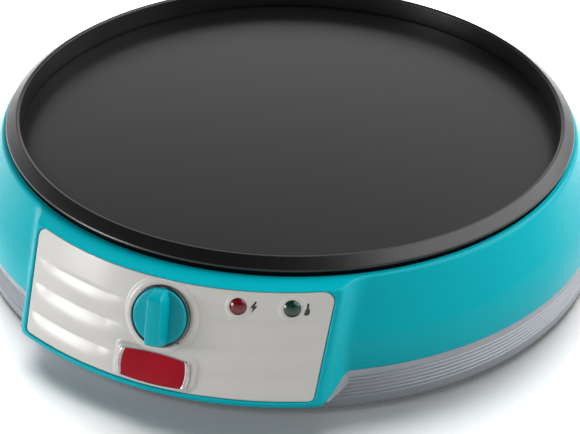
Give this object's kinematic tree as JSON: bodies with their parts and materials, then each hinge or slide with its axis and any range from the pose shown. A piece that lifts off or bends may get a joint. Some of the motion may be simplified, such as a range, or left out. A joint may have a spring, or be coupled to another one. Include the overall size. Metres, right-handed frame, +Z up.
{
  "type": "electric crepe maker",
  "caption": "Countertop crepe maker: round rimmed non-stick plate on a two-part round housing, front control block with turning thermostat knob, two lamps and a ribbed base.",
  "frame": {"origin": "on the cooking plate's axis, at the height of the surface that the feet stand on", "axes": "+Z up along the plate's axis, -Y towards the control block, +X to the right of someone facing the controls"},
  "size_m": [0.342, 0.3607, 0.0738],
  "materials": {
    "plate_coating": "satin non-stick coating",
    "housing_gloss": "high gloss",
    "base_silver": "silver-grey metallic lacquer",
    "fascia_white": "semi-gloss off-white",
    "knob_gloss": "high gloss",
    "bezel_metal": "polished dark metal",
    "badge_chrome": "polished",
    "badge_enamel": "glossy enamel red",
    "lens_red": "polished translucent red",
    "lens_green": "polished translucent green",
    "rubber_black": "matte",
    "steatite": "matte unglazed",
    "zinc_steel": "zinc plated",
    "sheath_steel": "heat-darkened",
    "sheet_aluminium": "bright rolled",
    "contact_brass": "bright",
    "glow_glass": "clear",
    "inner_plastic": "natural nylon",
    "lead_insulation": "glass-braid sleeve"
  },
  "bodies": {
    "base": {"cooking_plate": "plate_coating", "plate_spacers": "steatite", "plate_screws": "zinc_steel", "heating_element": "sheath_steel", "element_pins": "zinc_steel", "element_clips": "zinc_steel", "clip_screws": "zinc_steel", "thermal_fuse": "steatite", "heat_reflector": "sheet_aluminium", "reflector_screws": "zinc_steel", "upper_housing": "housing_gloss", "lower_housing": "base_silver", "case_screws": "zinc_steel", "feet": "rubber_black", "fascia": "fascia_white", "fascia_screws": "zinc_steel", "knob_bezel": "bezel_metal", "badge_frame": "badge_chrome", "badge_plate": "badge_enamel", "red_lens": "lens_red", "green_lens": "lens_green", "glow_lamps": "glow_glass", "lamp_holders": "inner_plastic", "thermostat_bracket": "zinc_steel", "bracket_screws": "zinc_steel", "thermostat_frame": "zinc_steel", "spindle_bush": "contact_brass", "bush_nut": "zinc_steel", "lower_contact_arm": "contact_brass", "contact_tabs": "contact_brass", "stack_spacers": "steatite", "stack_rivet": "zinc_steel", "terminal_block": "steatite", "terminal_screws": "contact_brass", "cord_gland": "rubber_black", "cord_clamp": "inner_plastic", "cord_clamp_screws": "zinc_steel", "wiring": "lead_insulation"},
    "knob": {"knob": "knob_gloss", "spindle": "zinc_steel", "knob_clip": "zinc_steel"},
    "adjuster": {"adjuster_pin": "steatite"},
    "contact_arm": {"upper_contact_arm": "contact_brass"},
    "bimetal": {"bimetal_strip": "zinc_steel"}
  },
  "joints": [
    {"name": "knob_turn", "type": "hinge", "parent": "base", "child": "knob", "pos_m": [0, -0.172, 0.04967], "axis": [0, -0.9092, 0.4163], "range_deg": [-135, 135]},
    {"name": "adjuster_travel", "type": "slide", "parent": "base", "child": "adjuster", "axis": [0, 0.9092, -0.4163], "range_m": [-0.0004, 0.0004]},
    {"name": "contact_arm_flex", "type": "hinge", "parent": "base", "child": "contact_arm", "pos_m": [-0.0189, -0.15584, 0.04227], "axis": [0, 0.4163, 0.9092], "range_deg": [-1.2, 1.2]},
    {"name": "bimetal_flex", "type": "hinge", "parent": "base", "child": "bimetal", "pos_m": [-0.0189, -0.15047, 0.03981], "axis": [0, -0.4163, -0.9092], "range_deg": [0, 1.5], "stiffness_Nm_per_rad": 0.05}
  ],
  "couplings": [
    {"joint": "adjuster_travel", "follows": "knob_turn", "m_per_rad": -0.00015915},
    {"joint": "contact_arm_flex", "follows": "knob_turn", "ratio": -0.0084209}
  ]
}
